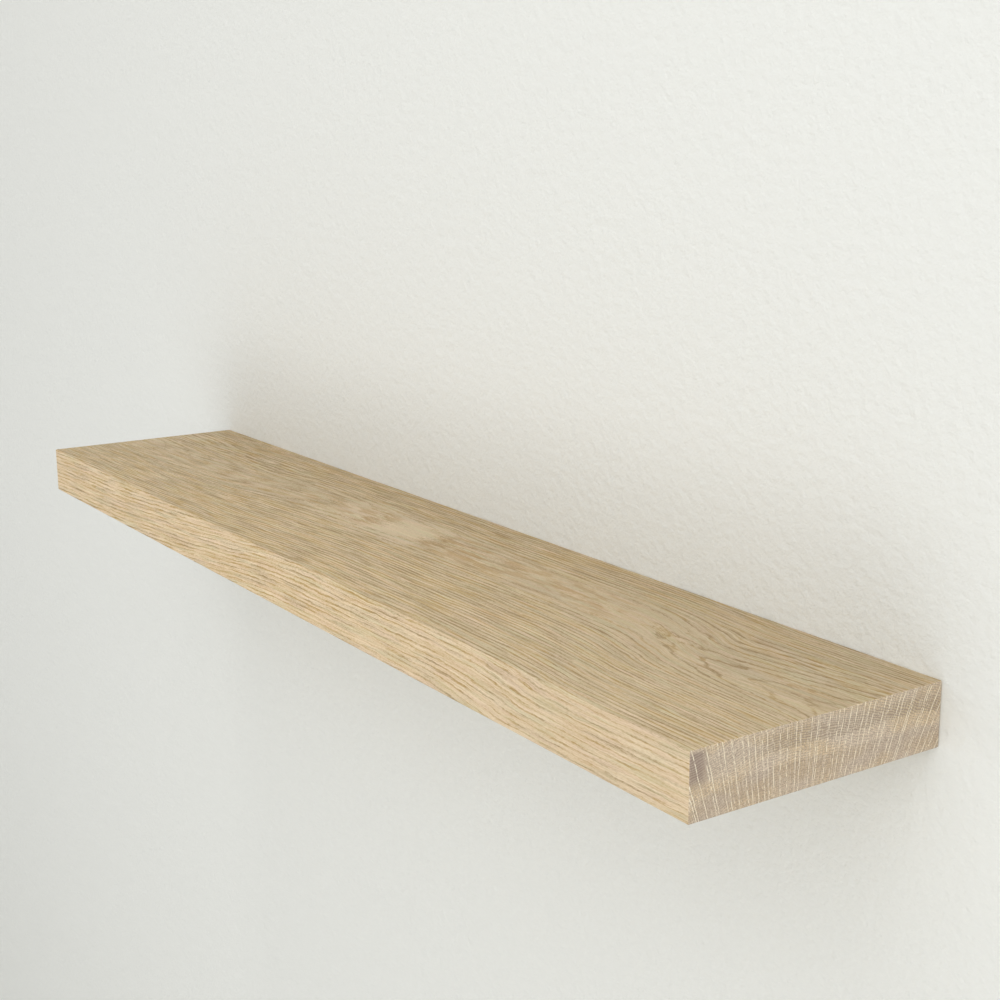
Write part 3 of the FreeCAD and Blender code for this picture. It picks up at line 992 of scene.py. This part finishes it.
lockSteelLook = {
    "black": linear(52, 52, 55),
    "oiled": linear(74, 72, 70),
    "bare": linear(150, 150, 152),
    "wornRadius": (2.88, 3.02),
    "cloudSize": 1.2,
    "roughness": 0.34,
    "bumpDepth": 0.00002,
}
makeLockScrews(lockScrewSizes, makeLockSteel(lockSteelLook))
print("lock screws done")


# Nylon: wall plugs, and the pads on the lock screws' tips
plugNylonLook = {
    "name": "greyPlugNylon",
    "body": linear(176, 180, 184),
    "shade": linear(150, 154, 160),
    "roughness": 0.42,
    "grainSize": 0.3,
    "bumpDepth": 0.00003,
}
padNylonLook = {
    "name": "naturalPadNylon",
    "body": linear(230, 225, 208),
    "shade": linear(210, 202, 180),
    "roughness": 0.36,
    "grainSize": 0.3,
    "bumpDepth": 0.00003,
}


def makeNylon(look):
    nylon = Look(look["name"])
    flow = nylon.noise(nylon.x / 4, nylon.y / 14, nylon.z / 4, 3.0, 0.6)
    grain = nylon.lumps(look["grainSize"], 2.0, 0.5)
    colour = nylon.blend(nylon.rise(flow, 0.35, 0.7), look["body"], look["shade"])
    roughness = look["roughness"] + flow * 0.12 + grain * 0.1
    normal = nylon.bump(grain, look["bumpDepth"], 0.4)
    return nylon.finish(Base_Color=colour, Roughness=roughness, Normal=normal)


plugNylon, padNylon = makeNylon(plugNylonLook), makeNylon(padNylonLook)
for i in fixingNumbers:
    wear(f"wall_plug_{i}", plugNylon)
for i in lockNumbers:
    wear(f"lock_pad_{i}", padNylon)
print("nylon plugs and pads done")


# Bracket: zinc-plated bar and rods
bracketLook = {
    "zinc": linear(190, 193, 198),
    "blue": linear(181, 187, 195),
    "straw": linear(194, 193, 188),
    "scratch": linear(222, 224, 226),
    "smut": linear(140, 142, 146),
    "scratchWidth": 0.7,  # for each width of the marks
    "cloudSize": 26,
    "mottleSize": 4,
    "roughness": 0.3,
    "bumpDepth": 0.00002,
}


def makeZinc(name, look, stretch):
    # the stretch gives the width in millimetres of the rolling or drawing marks in x, y and z
    zinc = Look(name)
    rolled = [place / width for place, width in zip((zinc.x, zinc.y, zinc.z), stretch)]
    marks = zinc.noise(*rolled, 2.0, 0.65)
    scratches = zinc.noise(*(place / look["scratchWidth"] for place in rolled), 1.0)
    cloud = zinc.lumps(look["cloudSize"], 4.0)
    mottle = zinc.lumps(look["mottleSize"])
    colour = zinc.blend(zinc.rise(cloud, 0.38, 0.62), look["blue"], look["straw"])
    colour = zinc.blend(zinc.rise(mottle, 0.35, 0.65), colour, look["zinc"])
    colour = zinc.blend(zinc.rise(marks, 0.52, 0.75) * 0.5, colour, look["smut"])
    colour = zinc.blend(zinc.rise(scratches, 0.64, 0.7) * 0.7, colour, look["scratch"])
    roughness = look["roughness"] + mottle * 0.16 + zinc.rise(marks, 0.45, 0.8) * 0.14
    normal = zinc.bump(marks, look["bumpDepth"], 0.5)
    return zinc.finish(Base_Color=colour, Roughness=roughness, Metallic=1.0, Normal=normal)


wear("wall_bar", makeZinc("zincBar", bracketLook, (38, 3, 0.35)))
rodZinc = makeZinc("zincRod", bracketLook, (0.3, 30, 0.3))
for i in rodNumbers:
    wear(f"support_rod_{i}", rodZinc)
print("bar and rods done")


# Stage: wall, floor, light and camera
stageLook = {
    "wallColour": linear(238, 239, 234),
    "floorColour": linear(232, 232, 230),
    # painted shadow: the wall is painted a little darker beside the shelf, where the shelf's shadow falls:
    # (height, shade)
    "paintedShadow": [(-700, 0.98), (-250, 0.98), (-20, 0.965), (20, 0.92), (90, 0.955), (200, 1.0), (700, 1.0)],
    "paintedShadowEnds": (380, 520),
    "plasterGrain": 1000 / 130,
    "plasterDepth": 0.0016,
    "roughness": 0.9,
    "shine": 0.2,
    "wallGap": 0.0004,  # behind the board
    "wallWidth": 6.0,
    "wallTop": 2.2,
    "floorLevel": -1.35,
    "floorDepth": 5.0,
    # soft lamps: (name, place, width, watts)
    "lamps": [
        ("frontLow", (0.3, -2.5, -0.4), 2.2, 14),
        ("right", (1.7, -1.9, 1.0), 2.2, 23),
        ("overhead", (0.3, -1.2, 2.2), 2.2, 12),
        ("left", (-2.2, -1.4, 0.3), 2.2, 7),
        ("behind", (-0.8, 2.4, 1.2), 2.2, 22),
    ],
    "skyStrength": 0.45,
    "skyColour": (1.0, 1.0, 1.0),
}
cameraFit = {
    "place": (0.98691, -0.64155, 0.30291),
    "turnDegrees": -56.18645,  # from +Y, about the vertical
    "tiltDegrees": 12.9475,  # downwards
    "rollDegrees": -0.27495,
    "lens": 57.4525,
    "nearest": 0.01,
}


def stagePlane(name, corners, colour, look, upright):
    # a flat sheet that only shows from the side its corners run anticlockwise
    mesh = bpy.data.meshes.new(name)
    mesh.from_pydata(corners, [], [range(len(corners))])
    plane = bpy.data.objects.new(name, mesh)
    bpy.context.scene.collection.objects.link(plane)
    paint = Look(name + "Paint")
    coat = (*colour, 1)
    if upright:
        # painted shadow: the wall's colour is darkened by height near the shelf, and only as wide as the
        # shelf
        beside = 1 - paint.rise(abs(paint.x), *look["paintedShadowEnds"])
        coat = paint.scale(colour, 1 - (1 - paint.curve(paint.z, look["paintedShadow"])) * beside)
    plaster = paint.bump(paint.lumps(look["plasterGrain"], 5.0, 0.62), look["plasterDepth"], 1.0)
    sockets = {"Base Color": coat, "Roughness": look["roughness"], "Normal": plaster}
    sockets["Specular IOR Level"] = look["shine"]
    face = paint.node("ShaderNodeBsdfPrincipled", {}, sockets)
    clear = paint.node("ShaderNodeBsdfTransparent", {}, {})
    back = paint.node("ShaderNodeNewGeometry", {}, {}, "Backfacing")
    travel = paint.node("ShaderNodeLightPath", {}, {}, "Ray Length")
    # the shortest rays pass, so that light reaches the board's back
    touching = paint.rise(travel, look["wallGap"] * 3, look["wallGap"] * 2.5)
    surface = paint.node("ShaderNodeMixShader", {}, {0: back.most(touching), 1: face, 2: clear})
    paint.node("ShaderNodeOutputMaterial", {}, {"Surface": surface})
    mesh.materials.append(paint.material)


def setStage(look):
    half = look["wallWidth"] / 2
    wallY, low, high = look["wallGap"], look["floorLevel"], look["wallTop"]
    front = -look["floorDepth"]
    wall = [(-half, wallY, low), (half, wallY, low), (half, wallY, high), (-half, wallY, high)]
    floor = [(-half, front, low), (half, front, low), (half, wallY, low), (-half, wallY, low)]
    stagePlane("wall", wall, look["wallColour"], look, True)
    stagePlane("floor", floor, look["floorColour"], look, False)

    for name, spot, width, watts in look["lamps"]:
        lamp = bpy.data.lights.new(name, "AREA")
        lamp.size = width
        lamp.energy = watts
        softbox = bpy.data.objects.new(name, lamp)
        bpy.context.scene.collection.objects.link(softbox)
        softbox.location = spot
        softbox.rotation_euler = (-softbox.location).to_track_quat("-Z", "Y").to_euler()

    world = bpy.data.worlds.new("room")
    bpy.context.scene.world = world
    world.use_nodes = True
    sky = world.node_tree.nodes["Background"]
    sky.inputs["Color"].default_value = (*look["skyColour"], 1)
    sky.inputs["Strength"].default_value = look["skyStrength"]


def setCamera(fit):
    turn, tilt, roll = (math.radians(fit[k]) for k in ("turnDegrees", "tiltDegrees", "rollDegrees"))
    forward = Vector((math.sin(turn) * math.cos(tilt), math.cos(turn) * math.cos(tilt), -math.sin(tilt)))
    level = Vector((math.cos(turn), -math.sin(turn), 0))
    upright = level.cross(forward)
    right = level * math.cos(roll) + upright * math.sin(roll)
    up = upright * math.cos(roll) - level * math.sin(roll)
    lens = bpy.data.cameras.new("camera")
    lens.lens = fit["lens"]
    lens.clip_start = fit["nearest"]
    camera = bpy.data.objects.new("camera", lens)
    bpy.context.scene.collection.objects.link(camera)
    axes = Matrix((right, up, -forward)).transposed()
    camera.matrix_world = Matrix.Translation(fit["place"]) @ axes.to_4x4()
    bpy.context.scene.camera = camera


setStage(stageLook)
setCamera(cameraFit)
bpy.context.scene.view_settings.view_transform = "Standard"
print("stage and camera done")
